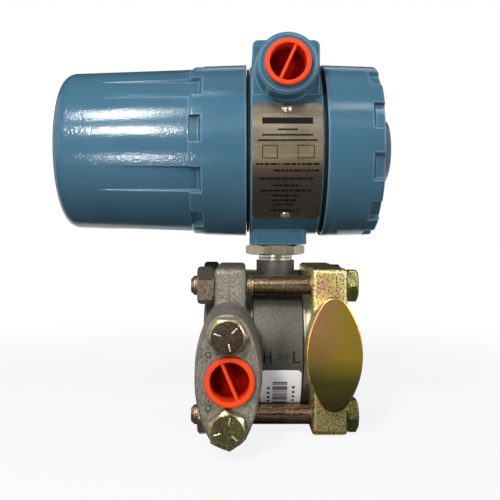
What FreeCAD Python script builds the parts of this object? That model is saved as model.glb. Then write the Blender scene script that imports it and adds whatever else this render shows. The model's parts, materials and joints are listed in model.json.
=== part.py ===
# Gauge pressure transmitter: a swivelling electronics housing on a two-flange sensor.
# Millimetres, +X right, +Y away from the viewer, +Z up, standing on the flange edges.
import FreeCAD
import Part
import math
import os

# Sensor drum, its axis along X
drum_radius = 38.0
drum_length = 26.0
drum_edge = 1.0
drum_step_inset = 2.0
drum_step = 1.2
spigot_inset = 4.0
spigot_edge = 0.5
letter_height = 6.2
letter_width = 4.0
letter_l_width = 3.6
letter_stroke = 0.8
letter_depth = 0.4
letter_h_inset = 5.4
letter_l_inset = 2.0

# Neck between drum and housing
neck_radius = 10.5
neck_rise = 7.0
neck_thread_radius = 9.3
neck_engagement = 12.8
neck_bore = 5.0
neck_turn_clearance = 0.08
neck_hole_spare = 2.0
thread_pitch = 1.4
thread_depth = 0.5
thread_flank = 0.6

# Lock nut under the housing
lock_nut_flats = 28.5
lock_nut_height = 5.4
lock_nut_stand = 3.0
lock_nut_gap = 0.3
lock_nut_ease = 0.8
lock_nut_turn = 5.0

# Flange bolts and nuts along X
bolt_radius = 4.95
bolt_drum_gap = 3.72
bolt_end_edge = 1.6
bolt_hole_clearance = 0.45
bolt_head_flats = 15.9
bolt_head_height = 5.9
bolt_head_ease = 1.4
bolt_face_share = 0.88
head_mark_height = 0.2
head_mark_width = 0.7
head_mark_inner = 2.8
head_mark_outer = 6.2
head_mark_count = 3
flange_nut_flats = 17.5
flange_nut_height = 8.6
flange_nut_ease = 1.3
upper_nut_turn = 47.0
flat_down_turn = 30.0
nut_bore_clearance = 0.05
bolt_tail = 3.4
wrench_clearance = 1.2

# Process flanges, their thickness along X
flange_bolt_margin = 9.0
flange_corner = 2.8
high_flange_thickness = 16.0
blank_flange_thickness = 18.0
flange_gap = 3.5
flange_edge = 2.2
high_pad_inset = 7.0
high_pad_height = 6.3
high_pad_round = 2.5
flange_seat_depth = 3.0
flange_seat_clearance = 0.4
chamber_depth = 3.0
chamber_margin = 2.5
passage_radius = 3.6
boss_reach = 9.0
boss_root = 10.0
boss_side_radius = 13.9
boss_end_radius = 7.4
boss_edge = 0.8
boss_drum_clearance = 1.2
high_boss_x = -25.0
high_boss_drop = 7.0
blank_boss_x = 26.8
bracket_hole_radius = 4.95
bracket_hole_depth = 14.0
bracket_hole_inset = 9.2

# Cells and seals inside the sensor
gasket_thickness = 1.2
gasket_inset = 0.5
gasket_width = 6.0
diaphragm_thickness = 0.5
diaphragm_wave = 0.4
diaphragm_wave_places = (0.45, 0.72)
diaphragm_recess = 1.0
diaphragm_inset = 0.3
cell_radius = 18.0
cell_clearance = 0.1
header_thickness = 4.0
header_pin_radius = 0.5
header_pin_length = 9.0
header_pin_circle = 2.8
header_pin_count = 5

# Pipe ports: tapered in the adapter, straight in the conduit hubs
port_radius = 10.4
port_slope = 1.0 / 32.0
port_chamfer = 0.8
adapter_port_depth = 20.0
conduit_port_depth = 28.0
wire_passage_radius = 7.0

# Moulded plugs in the ports
plug_lip = 1.0
plug_flange_thickness = 3.0
plug_flange_round = 0.9
plug_wall = 1.2
plug_clearance = 0.3
plug_depth = 13.0
plug_floor = 1.4
plug_bar_width = 1.5
plug_bar_height = 6.0
plug_bar_inset = 0.6
plug_bar_round = 0.4
conduit_bar_angle = 25.0
process_bar_angle = -23.0

# Flange adapter in front of the high flange
adapter_thickness = 28.0
adapter_port_wall = 4.4
adapter_end_wall = 1.9
adapter_draft = 1.8
adapter_edge = 1.6
adapter_port_shift = 1.0
adapter_head_gap = 1.3
adapter_bolt_bite = 11.0
adapter_head_height = 7.1
lower_bolt_turn = 23.0
lower_mark_turn = 43.0
upper_mark_turn = -43.0
tap_spare = 0.6
adapter_seal_radius = 8.6
adapter_seal_width = 2.4
adapter_seal_depth = 1.8
seal_groove_clearance = 0.1

# Housing barrel, its axis along X
barrel_radius = 46.0
barrel_left = 14.4
barrel_right = 22.6
barrel_edge = 0.8
foot_drop = 5.6
foot_width = 30.6
foot_shift = 1.0
foot_corner = 4.0
neck_step = 5.0
neck_wall = 4.5
cover_thread_length = 18.0
bulkhead_x = -12.0
bulkhead_thickness = 4.0

# Conduit saddle on top of the barrel
hub_x = 3.8
hub_sink = 9.1
hub_radius = 15.2
hub_draft = 0.6
hub_stand = 8.0
hub_edge = 1.2
saddle_side = 1.8
saddle_setback = 15.0
saddle_round = 4.0

# Covers and their seals
cover_proud = 1.0
cover_taper = 0.9
cover_ring_width = 29.0
cover_gap = 1.8
cover_thread_clearance = 0.35
cover_edge = 1.6
cover_lip = 0.6
seal_side_clearance = 0.3
seal_height = 3.4
seal_round = 0.4
notch_count = 11
notch_angle = 17.3
notch_length = 6.6
notch_depth = 4.0
notch_slope = 2.0
long_notch_phase = 8.3
short_notch_phase = 17.0
cup_length = 69.6
cup_step = 2.4
cup_draft = 2.4
cup_end_round = 7.0
cover_wall = 4.2
cover_hub_radius = 16.0
cover_hub_height = 8.3
cover_hub_round = 3.0
cover_hub_slope = 8.0

# Nameplate on the barrel front
plate_thickness = 0.8
plate_gap = 0.05
plate_margin = 1.0
plate_hub_gap = 1.6
plate_bottom_angle = -55.4
plate_corner = 3.0
rivet_x = 3.8
rivet_edge_angle = 4.2
rivet_radius = 2.7
rivet_height = 1.3
rivet_shank_radius = 1.2
rivet_shank_length = 5.0
rivet_clearance = 0.05

# Sticker on the drum front
label_left_margin = 3.8
label_right_margin = 1.2
label_top_angle = -15.0
label_bottom_angle = -54.0
label_thickness = 0.25
label_corner = 2.2
label_gap = 0.03

# Electronics in the long cover
board_gap = 3.5
board_thickness = 1.6
board_stand = 9.0
pack_stand = 12.0
pack_inset = 2.0
pack_length = 44.0
pack_round = 4.0
pack_foot_thickness = 4.0
pack_foot_edge = 0.8
spacer_inset = 6.0
spacer_radius = 3.2
screw_radius = 1.5
screw_clearance = 0.1
screw_head_radius = 2.8
screw_head_height = 2.0
screw_head_round = 0.8
screw_slot_width = 0.9
screw_slot_depth = 0.9
screw_bite = 3.0
stack_screw_count = 3

# Terminals in the short cover
terminal_width = 46.0
terminal_height = 28.0
terminal_depth = 13.0
terminal_drop = 6.0
terminal_round = 2.0
terminal_count = 4
terminal_pitch = 10.5
terminal_recess = 3.0
terminal_recess_width = 8.4
terminal_screw_radius = 3.2
terminal_screw_height = 2.6
terminal_screw_drop = 7.0
block_screw_side = 4.0
block_screw_rise = 4.0

# Places worked out from the sizes above
bolt_offset = (drum_radius + bolt_radius + bolt_drum_gap) / math.sqrt(2)
flange_size = 2 * (bolt_offset + flange_bolt_margin)
drum_z = flange_size / 2
drum_half = drum_length / 2
spigot_radius = drum_radius - spigot_inset
gasket_radius = spigot_radius - gasket_inset
chamber_radius = gasket_radius - gasket_width - chamber_margin
high_pad_radius = spigot_radius - high_pad_inset
flange_inner = drum_half + flange_gap
high_outer = flange_inner + high_flange_thickness
blank_outer = flange_inner + blank_flange_thickness
seat_floor = flange_inner + flange_seat_depth
chamber_x = seat_floor + chamber_depth
spigot_end = seat_floor - gasket_thickness
diaphragm_seat = spigot_end - diaphragm_recess
neck_top = drum_z + drum_radius + neck_rise
lock_nut_bottom = neck_top + lock_nut_stand
foot_bottom = lock_nut_bottom + lock_nut_height + lock_nut_gap
thread_top = foot_bottom + neck_engagement
axis_z = foot_bottom + foot_drop + barrel_radius
cover_thread_radius = barrel_radius - neck_step
compartment_radius = cover_thread_radius - neck_wall
bulkhead_end = bulkhead_x + bulkhead_thickness
hub_z = axis_z + barrel_radius - hub_sink
hub_reach = barrel_radius + hub_stand
plug_flange_radius = port_radius + plug_lip
adapter_bolt_rise = plug_flange_radius + adapter_head_gap + bolt_head_flats / 2
boss_front = -(flange_size / 2 + boss_reach)
adapter_front = boss_front - adapter_thickness
high_boss_z = drum_z - high_boss_drop
port_x = high_boss_x + adapter_port_shift
adapter_side_radius = port_radius + adapter_port_wall
adapter_end_radius = bolt_head_flats / 2 + adapter_end_wall
cover_radius = barrel_radius + cover_proud
cover_bore = cover_thread_radius + cover_thread_clearance
notch_floor_radius = cover_radius - notch_depth
cup_root_radius = cover_radius - cup_step
cup_end_radius = cup_root_radius - cup_draft
cavity_radius = cup_end_radius - cover_wall
long_ring_start = -(barrel_left + cover_gap)
long_ring_end = long_ring_start - cover_ring_width
long_cover_end = long_ring_end - cup_length
short_ring_start = barrel_right + cover_gap
short_ring_end = short_ring_start + cover_ring_width
short_cover_end = short_ring_end + cover_hub_height
plate_left = plate_margin - barrel_left
plate_right = barrel_right - plate_margin
plate_top = hub_z - hub_radius - hub_draft - plate_hub_gap - axis_z
plate_top_angle = math.degrees(math.asin(plate_top / barrel_radius))
board_radius = compartment_radius - board_gap
spacer_circle = board_radius - spacer_inset
board_near = bulkhead_x - board_stand
board_far = board_near - board_thickness
pack_near = board_far - pack_stand
pack_foot_end = pack_near - pack_foot_thickness
terminal_z = axis_z - terminal_drop
terminal_face = bulkhead_end + terminal_depth
front_y = adapter_front - adapter_head_height - head_mark_height
origin_x = (long_cover_end + short_cover_end) / 2
origin_y = (front_y + hub_reach) / 2

X_AXIS = FreeCAD.Vector(1, 0, 0)
Y_AXIS = FreeCAD.Vector(0, 1, 0)
Z_AXIS = FreeCAD.Vector(0, 0, 1)
FULL_TURN = 360.0
RIM_SPAN = 1e-3
HEX_RATIO = math.sqrt(3)


def point(x, y, z):
    return FreeCAD.Vector(x, y, z)


def rod_x(radius, x0, x1, y=0.0, z=0.0):
    return Part.makeCylinder(radius, x1 - x0, point(x0, y, z), X_AXIS)


def rod_y(radius, y0, y1, x=0.0, z=0.0):
    return Part.makeCylinder(radius, y1 - y0, point(x, y0, z), Y_AXIS)


def rod_z(radius, z0, z1, x=0.0, y=0.0):
    return Part.makeCylinder(radius, z1 - z0, point(x, y, z0), Z_AXIS)


def block(x0, x1, y0, y1, z0, z1):
    return Part.makeBox(x1 - x0, y1 - y0, z1 - z0, point(x0, y0, z0))


def rounded_wire(corners, place):
    """Closed outline through (a, b, round) corners; place turns (a, b) into a point."""
    edges = []
    ends = []
    for i, (a, b, radius) in enumerate(corners):
        here = place(a, b)
        before = place(*corners[i - 1][:2]) - here
        after = place(*corners[(i + 1) % len(corners)][:2]) - here
        if radius <= 0:
            ends.append((here, here))
            continue
        half = before.getAngle(after) / 2
        before.normalize()
        after.normalize()
        reach = radius / math.tan(half)
        start = here + before * reach
        end = here + after * reach
        bisector = before + after
        bisector.normalize()
        middle = here + bisector * (radius / math.sin(half) - radius)
        edges.append(Part.Arc(start, middle, end).toShape())
        ends.append((start, end))
    for i in range(len(ends)):
        start = ends[i - 1][1]
        end = ends[i][0]
        if (end - start).Length > 1e-6:
            edges.append(Part.LineSegment(start, end).toShape())
    return Part.Wire(Part.__sortEdges__(edges))


def turned(corners, z):
    """Solid turned about the X line at height z, from (x, radius, round) corners."""
    face = Part.Face(rounded_wire(corners, lambda a, b: point(a, 0, z + b)))
    return face.revolve(point(0, 0, z), X_AXIS, FULL_TURN)


def turned_y(corners, x, z):
    """Solid turned about the Y line through x, z, from (y, radius, round) corners."""
    face = Part.Face(rounded_wire(corners, lambda a, b: point(x + b, a, z)))
    return face.revolve(point(x, 0, z), Y_AXIS, FULL_TURN)


def hexagon(flats, height, turn, edge, face_share=1.0):
    """Hexagonal prism on +Z with eased corners; its face at zero is a share of the flats wide."""
    radius = flats / HEX_RATIO
    corners = []
    for i in range(7):
        angle = math.radians(turn + 60 * i)
        corners.append(point(radius * math.cos(angle), radius * math.sin(angle), 0))
    prism = Part.Face(Part.makePolygon(corners)).extrude(point(0, 0, height))
    eased = [(0, 0, 0), (face_share * flats / 2, 0, 0), (radius, edge, 0), (radius, height - edge, 0)]
    eased += [(flats / 2, height, 0), (0, height, 0)]
    face = Part.Face(rounded_wire(eased, lambda a, b: point(a, 0, b)))
    return prism.common(face.revolve(point(0, 0, 0), Z_AXIS, FULL_TURN))


def laid_along(shape, direction, place):
    """Turns a shape built on +Z so that +Z points along direction, and moves it to place."""
    moved = shape.copy()
    moved.Placement = FreeCAD.Placement(place, FreeCAD.Rotation(Z_AXIS, direction))
    return moved


def oval_wire(side_radius, end_radius, rise, x, y, z):
    """Oval in the plane at y: round ends at rise above and below z, joined by long side arcs."""
    side_curve = (side_radius ** 2 + rise ** 2 - end_radius ** 2) / (2 * (side_radius - end_radius))
    lean = math.asin(rise / (side_curve - end_radius))
    across = end_radius * math.cos(lean)
    along = rise + end_radius * math.sin(lean)
    crown = rise + end_radius
    turns = [(across, along), (0, crown), (-across, along), (-side_radius, 0)]
    turns += [(-across, -along), (0, -crown), (across, -along), (side_radius, 0)]
    spots = [point(x + a, y, z + b) for a, b in turns]
    spots.append(spots[0])
    return Part.Wire([Part.Arc(*spots[i:i + 3]).toShape() for i in range(0, len(turns), 2)])


def oval_block(side_radius, end_radius, rise, x, z, y0, y1, edge):
    """Oval slab from y0 back to y1, its front rim eased."""
    slab = Part.Face(oval_wire(side_radius, end_radius, rise, x, y0, z)).extrude(point(0, y1 - y0, 0))
    return slab.makeFillet(edge, front_rim(slab, y0))


def front_rim(shape, y):
    return [e for e in shape.Edges if e.BoundBox.YMax < y + RIM_SPAN]


def sector(reach, x0, x1, angle0, angle1, z):
    """Wedge about an X line, between two angles above the -Y direction."""
    corners = [point(x0, 0, z)]
    for angle in (angle0, (angle0 + angle1) / 2, angle1):
        turn = math.radians(angle)
        corners.append(point(x0, -reach * math.cos(turn), z + reach * math.sin(turn)))
    corners.append(corners[0])
    return Part.Face(Part.makePolygon(corners)).extrude(point(x1 - x0, 0, 0))


def arc_band(inner, outer, x0, x1, angle0, angle1, z):
    """Curved band on the front of an X cylinder, between two angles above the -Y direction."""
    ring = rod_x(outer, x0, x1, 0, z).cut(rod_x(inner, x0, x1, 0, z))
    return ring.common(sector(2 * outer, x0, x1, angle0, angle1, z))


def port_cutter(y_mouth, inward, x, z, depth, slope):
    """Pipe port along Y from its mouth, with an eased lip."""
    y_end = y_mouth + inward * depth
    lip = y_mouth + inward * port_chamfer
    corners = [(y_mouth, 0, 0), (y_mouth, port_radius + port_chamfer, 0), (lip, port_radius, 0)]
    corners += [(y_end, port_radius - slope * depth, 0), (y_end, 0, 0)]
    return turned_y(corners, x, z)


def stack_points():
    """Places of the stack screws around the barrel axis."""
    places = []
    for i in range(stack_screw_count):
        angle = math.radians(90 + FULL_TURN * i / stack_screw_count)
        places.append((spacer_circle * math.cos(angle), axis_z + spacer_circle * math.sin(angle)))
    return places


def block_screw_points():
    y = terminal_width / 2 - block_screw_side
    z = terminal_z - terminal_height / 2 + block_screw_rise
    return [(-y, z), (y, z)]


def rivet_frames():
    """Foot and outward direction of each drive screw."""
    frames = []
    for angle in (plate_top_angle - rivet_edge_angle, plate_bottom_angle + rivet_edge_angle):
        turn = math.radians(angle)
        outward = point(0, -math.cos(turn), math.sin(turn))
        frames.append((point(rivet_x, 0, axis_z), outward))
    return frames


def rivet_holes(outer):
    holes = []
    for centre, outward in rivet_frames():
        start = centre + outward * (outer - rivet_shank_length)
        reach = rivet_shank_length + plate_thickness
        holes.append(Part.makeCylinder(rivet_shank_radius + rivet_clearance, reach, start, outward))
    return holes


def hub(side):
    """Conduit hub on one side of the saddle, wider at its root."""
    length = saddle_setback + hub_edge
    root = point(hub_x, side * (hub_reach - length), hub_z)
    cone = Part.makeCone(hub_radius + hub_draft, hub_radius, length, root, Y_AXIS * side)
    tip = [e for e in cone.Edges if abs(e.BoundBox.Center.y) > hub_reach - hub_edge]
    return cone.makeChamfer(hub_edge, tip)


def saddle():
    half_width = hub_radius + saddle_side
    half_depth = hub_reach - saddle_setback
    top = hub_z + hub_radius + hub_draft
    body = block(hub_x - half_width, hub_x + half_width, -half_depth, half_depth, axis_z, top)
    return body.makeFillet(saddle_round, [e for e in body.Edges if e.BoundBox.ZMin > hub_z])


def foot():
    half = foot_width / 2
    body = block(foot_shift - half, foot_shift + half, -half, half, foot_bottom, axis_z)
    return body.makeFillet(foot_corner, [e for e in body.Edges if e.BoundBox.ZLength > foot_corner])


def housing():
    neck_left = -(barrel_left + cover_thread_length)
    neck_right = barrel_right + cover_thread_length
    barrel = rod_x(barrel_radius, -barrel_left, barrel_right, 0, axis_z)
    barrel = barrel.makeChamfer(barrel_edge, [e for e in barrel.Edges if len(e.Vertexes) == 1])
    necks = rod_x(cover_thread_radius, neck_left, neck_right, 0, axis_z)
    solid = barrel.fuse([necks, foot(), saddle(), hub(-1), hub(1)])
    cuts = [rod_x(compartment_radius, neck_left, bulkhead_x, 0, axis_z)]
    cuts.append(rod_x(compartment_radius, bulkhead_end, neck_right, 0, axis_z))
    floor = axis_z - compartment_radius + neck_hole_spare
    cuts.append(rod_z(neck_thread_radius + neck_turn_clearance, foot_bottom, floor))
    cuts.append(port_cutter(-hub_reach, 1, hub_x, hub_z, conduit_port_depth, 0))
    cuts.append(port_cutter(hub_reach, -1, hub_x, hub_z, conduit_port_depth, 0))
    wire_end = hub_reach - conduit_port_depth
    cuts.append(rod_y(wire_passage_radius, -wire_end, wire_end, hub_x, hub_z))
    for y, z in stack_points():
        cuts.append(rod_x(screw_radius + screw_clearance, bulkhead_x, bulkhead_x + screw_bite, y, z))
    for y, z in block_screw_points():
        cuts.append(rod_x(screw_radius + screw_clearance, bulkhead_end - screw_bite, bulkhead_end, y, z))
    cuts += rivet_holes(barrel_radius)
    return solid.cut(cuts).removeSplitter()


def notches(ring_end, outward, runs, phase):
    """Wrench notches with sloped inner ends; runs says how far each carries on past the ring."""
    top = cover_radius + cover_edge
    start = ring_end - outward * notch_length
    floor_start = start + outward * notch_slope
    tools = []
    for i, run in enumerate(runs):
        end = ring_end + outward * run
        corners = [(start, top, 0), (start, cover_radius, 0), (floor_start, notch_floor_radius, 0)]
        corners += [(end, notch_floor_radius, 0), (end, top, 0)]
        middle = phase + FULL_TURN * i / len(runs)
        low, high = middle - notch_angle / 2, middle + notch_angle / 2
        tools.append(turned(corners, axis_z).common(sector(2 * top, start, end, low, high, axis_z)))
    return tools


def groove_runs():
    """Every second notch, counted both ways from the front one, carries on along the cup as a groove."""
    steps = [min(i, notch_count - i) for i in range(notch_count)]
    return [cup_length * (step % 2) for step in steps]


def long_cover():
    bore_end = long_ring_start - cover_thread_length
    outer = [(long_ring_start, cover_bore, 0), (long_ring_start, cover_radius, cover_lip)]
    outer += [(long_ring_end, cover_radius - cover_taper, cover_edge), (long_ring_end, cup_root_radius, 0)]
    outer += [(long_cover_end, cup_end_radius, cup_end_round), (long_cover_end, 0, 0)]
    inner_end = long_cover_end + cover_wall
    outer += [(inner_end, 0, 0), (inner_end, cavity_radius, cup_end_round - cover_wall)]
    outer += [(bore_end, cavity_radius, 0), (bore_end, cover_bore, 0)]
    return turned(outer, axis_z).cut(notches(long_ring_end, -1, groove_runs(), long_notch_phase))


def short_cover():
    bore_end = short_ring_start + cover_thread_length
    foot_radius = cover_hub_radius + cover_hub_slope
    outer = [(short_ring_start, cover_bore, 0), (short_ring_start, cover_radius, cover_lip)]
    outer += [(short_ring_end, cover_radius - cover_taper, cover_edge), (short_ring_end, foot_radius, 0)]
    outer += [(short_cover_end, cover_hub_radius, cover_hub_round), (short_cover_end, 0, 0)]
    inner_end = short_cover_end - cover_wall
    face_end = short_ring_end - cover_wall
    outer += [(inner_end, 0, 0), (inner_end, cover_hub_radius - cover_wall, 0)]
    outer += [(face_end, foot_radius - cover_wall, 0), (face_end, cavity_radius, 0)]
    outer += [(bore_end, cavity_radius, 0), (bore_end, cover_bore, 0)]
    runs = [cover_hub_height] * notch_count
    return turned(outer, axis_z).cut(notches(short_ring_end, 1, runs, short_notch_phase))


def cover_seal(x_barrel, outward):
    inner = cover_thread_radius + seal_side_clearance
    near = x_barrel + outward * seal_side_clearance
    far = x_barrel + outward * (cover_gap - seal_side_clearance)
    corners = [(near, inner, seal_round), (near, inner + seal_height, seal_round)]
    corners += [(far, inner + seal_height, seal_round), (far, inner, seal_round)]
    return turned(corners, axis_z)


def nameplate():
    inner = barrel_radius + plate_gap
    outer = inner + plate_thickness
    band = arc_band(inner, outer, plate_left, plate_right, plate_bottom_angle, plate_top_angle, axis_z)
    top = inner * math.sin(math.radians(plate_top_angle))
    bottom = inner * math.sin(math.radians(plate_bottom_angle))
    corners = [(plate_left, bottom, plate_corner), (plate_right, bottom, plate_corner)]
    corners += [(plate_right, top, plate_corner), (plate_left, top, plate_corner)]
    outline = rounded_wire(corners, lambda a, b: point(a, 0, axis_z + b))
    prism = Part.Face(outline).extrude(point(0, -2 * outer, 0))
    return band.common(prism).cut(rivet_holes(outer))


def drive_screw():
    """Domed drive screw on +Z: shank below zero, dome from zero to its height."""
    inside = rivet_shank_length - plate_thickness - rivet_clearance
    curve = (rivet_radius ** 2 + rivet_height ** 2) / (2 * rivet_height)
    lean = math.asin(rivet_radius / curve) / 2
    crown = rivet_height - curve + curve * math.cos(lean)
    top = point(0, 0, rivet_height)
    rim = point(rivet_radius, 0, 0)
    dome = Part.Arc(rim, point(curve * math.sin(lean), 0, crown), top).toShape()
    corners = [top, point(0, 0, -inside), point(rivet_shank_radius, 0, -inside)]
    corners += [point(rivet_shank_radius, 0, 0), rim]
    sides = Part.makePolygon(corners).Edges
    return Part.Face(Part.Wire(sides + [dome])).revolve(point(0, 0, 0), Z_AXIS, FULL_TURN)


def nameplate_rivets():
    seat = barrel_radius + plate_gap + plate_thickness
    shape = drive_screw()
    return Part.makeCompound([laid_along(shape, out, centre + out * seat) for centre, out in rivet_frames()])


def plug(y_face, x, z, bar_angle):
    """Hollow tapered plug entering a port along +Y, with a bar across its mouth."""
    front = y_face - plug_flange_thickness
    tip = y_face + plug_depth
    floor = tip - plug_floor
    body = port_radius - plug_clearance
    hole = body - plug_wall
    tip_radius = body - port_slope * plug_depth
    corners = [(front, hole, plug_flange_round / 2), (front, plug_flange_radius, plug_flange_round)]
    corners += [(y_face, plug_flange_radius, plug_flange_round / 2), (y_face, body, 0)]
    corners += [(tip, tip_radius, plug_floor / 2), (tip, 0, 0), (floor, 0, 0)]
    corners += [(floor, tip_radius - plug_wall, 0), (y_face, hole, 0)]
    half = hole + plug_wall / 2
    top = front + plug_bar_inset
    side = plug_bar_width / 2
    bar = block(x - side, x + side, top, top + plug_bar_height, z - half, z + half)
    bar = bar.makeFillet(plug_bar_round, [e for e in front_rim(bar, top) if e.BoundBox.ZLength > half])
    bar.rotate(point(x, 0, z), Y_AXIS, bar_angle)
    sleeve = rod_y(half, front, tip, x, z)
    return turned_y(corners, x, z).fuse(bar.common(sleeve)).removeSplitter()


def conduit_plug():
    return plug(-hub_reach, hub_x, hub_z, conduit_bar_angle)


def process_plug():
    return plug(adapter_front, port_x, high_boss_z, process_bar_angle)


def lock_nut():
    nut = hexagon(lock_nut_flats, lock_nut_height, lock_nut_turn, lock_nut_ease)
    nut = laid_along(nut, Z_AXIS, point(0, 0, lock_nut_bottom))
    bore = neck_thread_radius + neck_turn_clearance
    return nut.cut(rod_z(bore, lock_nut_bottom, lock_nut_bottom + lock_nut_height))


def thread_grooves(z0, z1, radius):
    """Ring grooves that stand for the thread, between two heights."""
    count = int((z1 - z0) / thread_pitch)
    rings = []
    for i in range(count):
        middle = z0 + (i + 0.5) * thread_pitch
        crest = radius + thread_depth
        outline = [point(crest, 0, middle - thread_flank), point(radius - thread_depth, 0, middle)]
        outline.append(point(crest, 0, middle + thread_flank))
        face = Part.Face(Part.makePolygon(outline + outline[:1]))
        rings.append(face.revolve(point(0, 0, 0), Z_AXIS, FULL_TURN))
    return rings


def letter_strokes():
    """Bars of the stamped H and L on the drum front, high side left and low side right."""
    front = -drum_radius
    core = rod_x(drum_radius - letter_depth, -drum_half, drum_half, 0, drum_z)
    left = -drum_half + letter_h_inset + letter_width
    right = drum_half - letter_l_inset
    low, high = drum_z - letter_height, drum_z
    bars = []
    for x in (left - letter_width, left - letter_stroke):
        bars.append((x, x + letter_stroke, low, high))
    middle = (low + high - letter_stroke) / 2
    bars.append((left - letter_width, left, middle, middle + letter_stroke))
    stem = right - letter_l_width
    bars.append((stem, stem + letter_stroke, low, high))
    bars.append((stem, right, low, low + letter_stroke))
    return [block(x0, x1, front, 0, z0, z1).cut(core) for x0, x1, z0, z1 in bars]


def sensor_module():
    step_radius = drum_radius - drum_step_inset
    drum = [(-spigot_end, 0, 0), (-spigot_end, spigot_radius, spigot_edge)]
    drum += [(-drum_half - drum_step, spigot_radius, 0), (-drum_half - drum_step, step_radius, 0)]
    drum += [(-drum_half, step_radius, 0), (-drum_half, drum_radius, drum_edge)]
    drum += [(-x, r, e) for x, r, e in reversed(drum)]
    solid = turned(drum, drum_z)
    neck = rod_z(neck_radius, drum_z, neck_top)
    thread = rod_z(neck_thread_radius, drum_z, thread_top)
    solid = solid.fuse([neck, thread]).cut(letter_strokes())
    cuts = [rod_x(cell_radius + cell_clearance, -spigot_end, spigot_end, 0, drum_z)]
    recess = chamber_radius + diaphragm_inset
    for sign in (-1, 1):
        ends = sorted((sign * spigot_end, sign * diaphragm_seat))
        cuts.append(rod_x(recess, ends[0], ends[1], 0, drum_z))
    cuts.append(rod_z(neck_bore, drum_z, thread_top))
    cuts += thread_grooves(neck_top + thread_depth, lock_nut_bottom, neck_thread_radius)
    return solid.cut(cuts).removeSplitter()


def sensing_cell():
    cell = rod_x(cell_radius, -diaphragm_seat, diaphragm_seat, 0, drum_z)
    return cell.cut(rod_z(neck_bore, drum_z, drum_z + cell_radius))


def diaphragm(outward):
    """Thin disc with two pressed waves, set in the recess of a spigot."""
    seat = outward * diaphragm_seat
    face = seat + outward * diaphragm_thickness
    crest = face + outward * diaphragm_wave
    disc = rod_x(chamber_radius, min(seat, face), max(seat, face), 0, drum_z)
    keep = rod_x(chamber_radius, min(seat, crest), max(seat, crest), 0, drum_z)
    for place in diaphragm_wave_places:
        ring = Part.makeTorus(chamber_radius * place, diaphragm_wave, point(face, 0, drum_z), X_AXIS)
        disc = disc.fuse(ring.common(keep))
    return disc.removeSplitter()


def gasket(outward):
    ends = sorted((outward * spigot_end, outward * seat_floor))
    ring = rod_x(gasket_radius, ends[0], ends[1], 0, drum_z)
    return ring.cut(rod_x(gasket_radius - gasket_width, ends[0], ends[1], 0, drum_z))


def header_seal():
    """Glass disc with its pins, near the top of the neck."""
    top = thread_top - header_thickness
    solids = [rod_z(neck_bore - cell_clearance, top - header_thickness, top)]
    middle = top - header_thickness / 2
    half = header_pin_length / 2
    for i in range(header_pin_count):
        turn = math.radians(FULL_TURN * i / header_pin_count)
        x, y = header_pin_circle * math.cos(turn), header_pin_circle * math.sin(turn)
        solids.append(rod_z(header_pin_radius, middle - half, middle + half, x, y))
    return solids[0].fuse(solids[1:]).removeSplitter()


def bolt_points():
    ends = (-bolt_offset, bolt_offset)
    return [(y, drum_z + z) for y in ends for z in ends]


def flange_outer(outward):
    """Outer face of the flange on one side, along X."""
    return blank_outer if outward > 0 else -high_outer


def flange_plate(outward):
    """Square flange slab with eased rims."""
    half = flange_size / 2
    corners = [(-half, -half, flange_corner), (half, -half, flange_corner)]
    corners += [(half, half, flange_corner), (-half, half, flange_corner)]
    x0, x1 = sorted((outward * flange_inner, flange_outer(outward)))
    outline = rounded_wire(corners, lambda a, b: point(x0, a, drum_z + b))
    plate = Part.Face(outline).extrude(point(x1 - x0, 0, 0))
    rims = [e for e in plate.Edges if e.BoundBox.XLength < RIM_SPAN]
    return plate.makeFillet(flange_edge, rims)


def flange_cuts(outward):
    """Drum seat, chamber, bolt holes with room for the wrench, and bracket hole."""
    seat = sorted((outward * flange_inner, outward * seat_floor))
    chamber = sorted((outward * flange_inner, outward * chamber_x))
    face = flange_outer(outward)
    holes = sorted((0, face))
    room = sorted((face, face + outward * flange_nut_height))
    wrench_radius = flange_nut_flats / HEX_RATIO + wrench_clearance
    cuts = [rod_x(spigot_radius + flange_seat_clearance, seat[0], seat[1], 0, drum_z)]
    cuts.append(rod_x(chamber_radius, chamber[0], chamber[1], 0, drum_z))
    cuts.append(rod_x(drum_radius + boss_drum_clearance, -flange_inner, flange_inner, 0, drum_z))
    for y, z in bolt_points():
        cuts.append(rod_x(bolt_radius + bolt_hole_clearance, holes[0], holes[1], y, z))
        cuts.append(rod_x(wrench_radius, room[0], room[1], y, z))
    back = flange_size / 2
    middle = outward * (flange_inner + bracket_hole_inset)
    cuts.append(rod_y(bracket_hole_radius, back - bracket_hole_depth, back, middle, drum_z))
    return cuts


def high_pad():
    """Round pad with an eased rim on the high flange's outer face."""
    end = -high_outer - high_pad_height
    pad = rod_x(high_pad_radius, end, -high_outer + flange_edge, 0, drum_z)
    return pad.makeFillet(high_pad_round, [e for e in pad.Edges if e.BoundBox.XMax < end + RIM_SPAN])


def high_flange():
    side = adapter_side_radius + adapter_draft
    end = adapter_end_radius + adapter_draft
    boss = oval_block(side, end, adapter_bolt_rise, high_boss_x, high_boss_z, boss_front,
                      boss_front + boss_reach + boss_root, boss_edge)
    cuts = flange_cuts(-1)
    cuts.append(rod_y(passage_radius, boss_front, 0, -chamber_x, high_boss_z))
    tap_end = boss_front + adapter_bolt_bite + tap_spare
    for z in adapter_bolt_heights():
        cuts.append(rod_y(bolt_radius + nut_bore_clearance, boss_front, tap_end, high_boss_x, z))
    return flange_plate(-1).fuse([boss, high_pad()]).cut(cuts).removeSplitter()


def blank_flange():
    boss = oval_block(boss_side_radius, boss_end_radius, adapter_bolt_rise, blank_boss_x, drum_z, boss_front,
                      boss_front + boss_reach + boss_root, boss_edge)
    return flange_plate(1).fuse(boss).cut(flange_cuts(1)).removeSplitter()


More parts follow.
